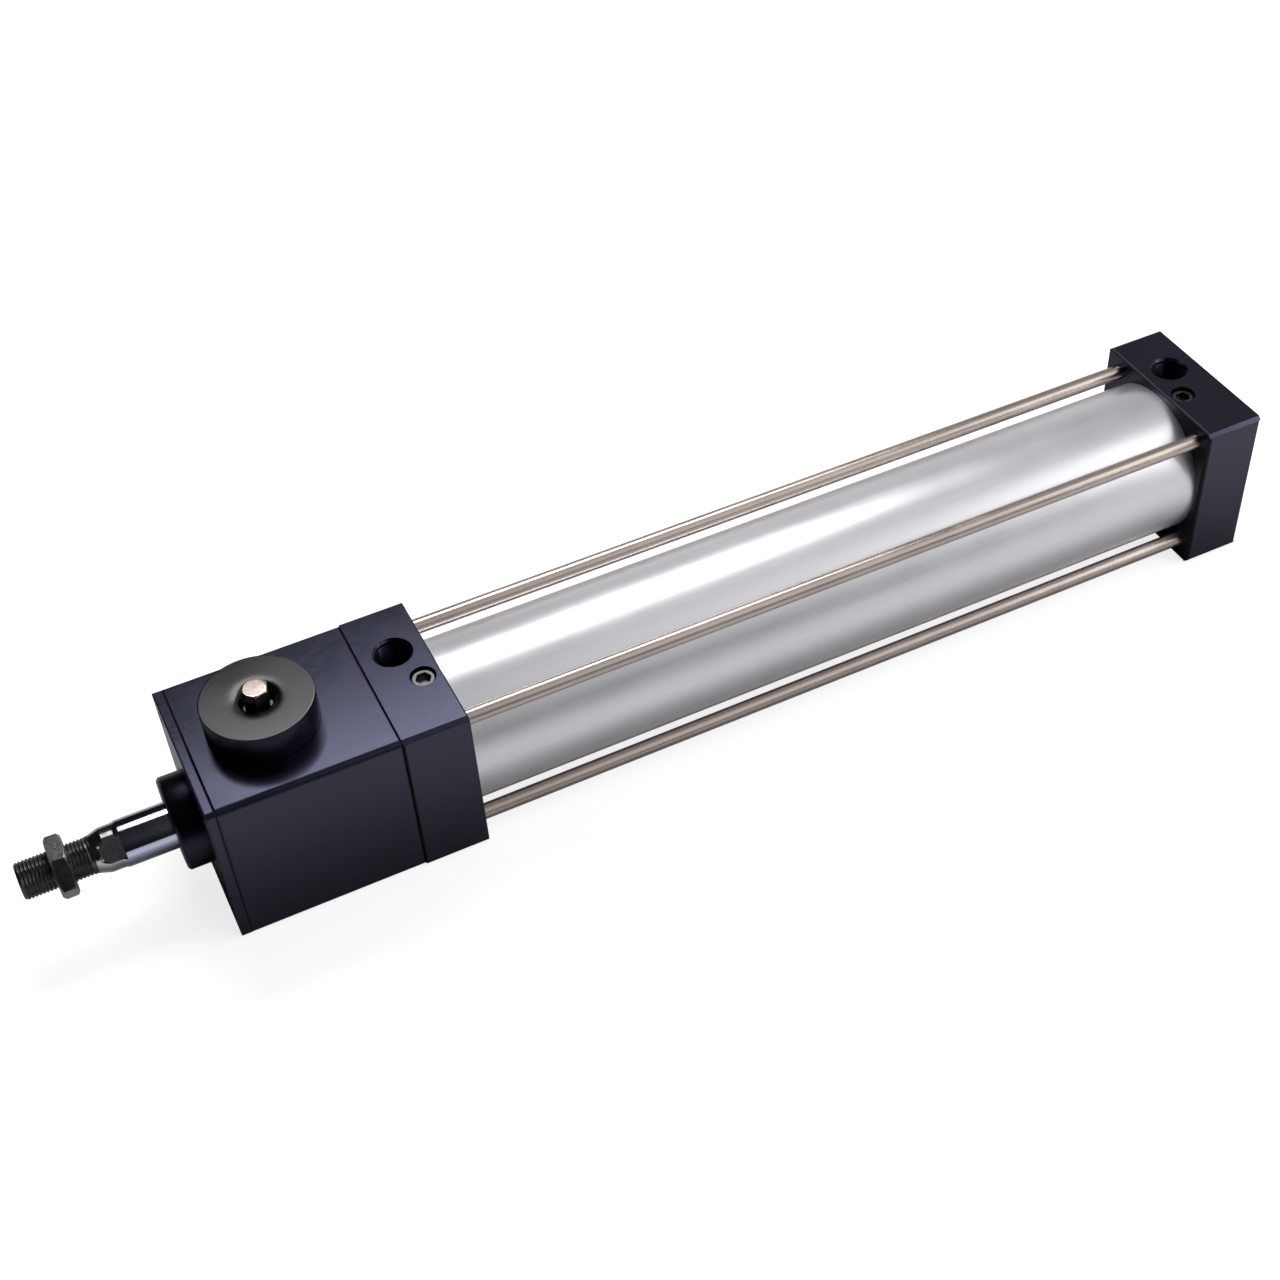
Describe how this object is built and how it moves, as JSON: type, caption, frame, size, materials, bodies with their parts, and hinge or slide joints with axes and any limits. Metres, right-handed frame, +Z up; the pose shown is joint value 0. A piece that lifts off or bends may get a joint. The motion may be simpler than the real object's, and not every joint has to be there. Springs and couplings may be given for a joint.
{
  "type": "air cylinder with rod lock",
  "caption": "Double-acting air cylinder with tie rods, a bright round tube between square black heads and a rod lock with a hand release in front.",
  "frame": {"origin": "on the rod's axis, in the front face of the cover plate where the pilot boss starts", "axes": "+X along the cylinder from the rod end to the rear head, +Z up through the ports, +Y across"},
  "size_m": [0.5695, 0.077, 0.0959],
  "materials": {
    "black_anodised": "black anodised, satin",
    "clear_anodised": "clear anodised, satin",
    "plain_aluminium": "turned",
    "chromed_steel": "hard chromed, polished",
    "tie_steel": "bright drawn",
    "nut_steel": "dark zinc plated",
    "bright_steel": "bright, machined",
    "sintered_bronze": "sintered bronze",
    "seal_rubber": "moulded",
    "guide_plastic": "acetal",
    "brake_lining": "friction lining"
  },
  "bodies": {
    "barrel": {"front_cover": "black_anodised", "rod_gland": "black_anodised", "lock_body": "black_anodised", "lock_breather": "sintered_bronze", "release_cap": "black_anodised", "rod_bushes": "sintered_bronze", "rod_scraper": "seal_rubber", "lock_rod_seal": "seal_rubber", "head_rod_seal": "seal_rubber", "front_head": "black_anodised", "rear_head": "black_anodised", "tube_gaskets": "seal_rubber", "cylinder_tube": "clear_anodised", "cushion_seals": "seal_rubber", "tie_rod_1": "tie_steel", "tie_rod_2": "tie_steel", "tie_rod_3": "tie_steel", "tie_rod_4": "tie_steel", "tie_rod_nuts": "nut_steel", "disc_springs": "nut_steel"},
    "rod": {"piston_rod": "chromed_steel", "piston": "plain_aluminium", "piston_seal": "seal_rubber", "piston_wear_ring": "guide_plastic", "cushion_sleeves": "plain_aluminium", "piston_nut": "nut_steel"},
    "jam_nut": {"rod_jam_nut": "nut_steel"},
    "brake": {"brake_piston": "plain_aluminium", "brake_piston_seal": "seal_rubber", "brake_inner_seal": "seal_rubber"},
    "near_shoe": {"near_brake_shoe": "nut_steel", "near_brake_lining": "brake_lining", "near_brake_rollers": "bright_steel"},
    "far_shoe": {"far_brake_shoe": "nut_steel", "far_brake_lining": "brake_lining", "far_brake_rollers": "bright_steel"},
    "cam": {"release_cam": "bright_steel"},
    "front_needle": {"front_cushion_needle": "nut_steel"},
    "rear_needle": {"rear_cushion_needle": "nut_steel"}
  },
  "joints": [
    {"name": "rod_slide", "type": "slide", "parent": "barrel", "child": "rod", "axis": [-1, 0, 0], "range_m": [0, 0.32]},
    {"name": "jam_nut_turn", "type": "hinge", "parent": "rod", "child": "jam_nut", "pos_m": [-0.0563, 0, 0], "axis": [1, 0, 0], "continuous": true},
    {"name": "front_needle_turn", "type": "hinge", "parent": "barrel", "child": "front_needle", "pos_m": [0.1015, -0.0077, 0.037], "axis": [0, 0, 1], "range_deg": [0, 1080]},
    {"name": "rear_needle_turn", "type": "hinge", "parent": "barrel", "child": "rear_needle", "pos_m": [0.476, -0.0077, 0.037], "axis": [0, 0, 1], "range_deg": [0, 1080]},
    {"name": "brake_slide", "type": "slide", "parent": "barrel", "child": "brake", "axis": [-1, 0, 0], "range_m": [0, 0.003], "stiffness_N_per_m": 40000, "springref_m": -0.003, "deforming": ["disc_springs"]},
    {"name": "cam_turn", "type": "hinge", "parent": "barrel", "child": "cam", "pos_m": [0.0357, 0, 0.0381], "axis": [0, 0, 1], "range_deg": [0, 90]},
    {"name": "near_shoe_slide", "type": "slide", "parent": "barrel", "child": "near_shoe", "axis": [0, -1, 0], "range_m": [0, 0.0003]},
    {"name": "far_shoe_slide", "type": "slide", "parent": "barrel", "child": "far_shoe", "axis": [0, 1, 0], "range_m": [0, 0.0003]}
  ],
  "couplings": [
    {"joint": "cam_turn", "follows": "brake_slide", "rad_per_m": 523.59},
    {"joint": "near_shoe_slide", "follows": "brake_slide", "ratio": 0.1},
    {"joint": "far_shoe_slide", "follows": "brake_slide", "ratio": 0.1}
  ]
}
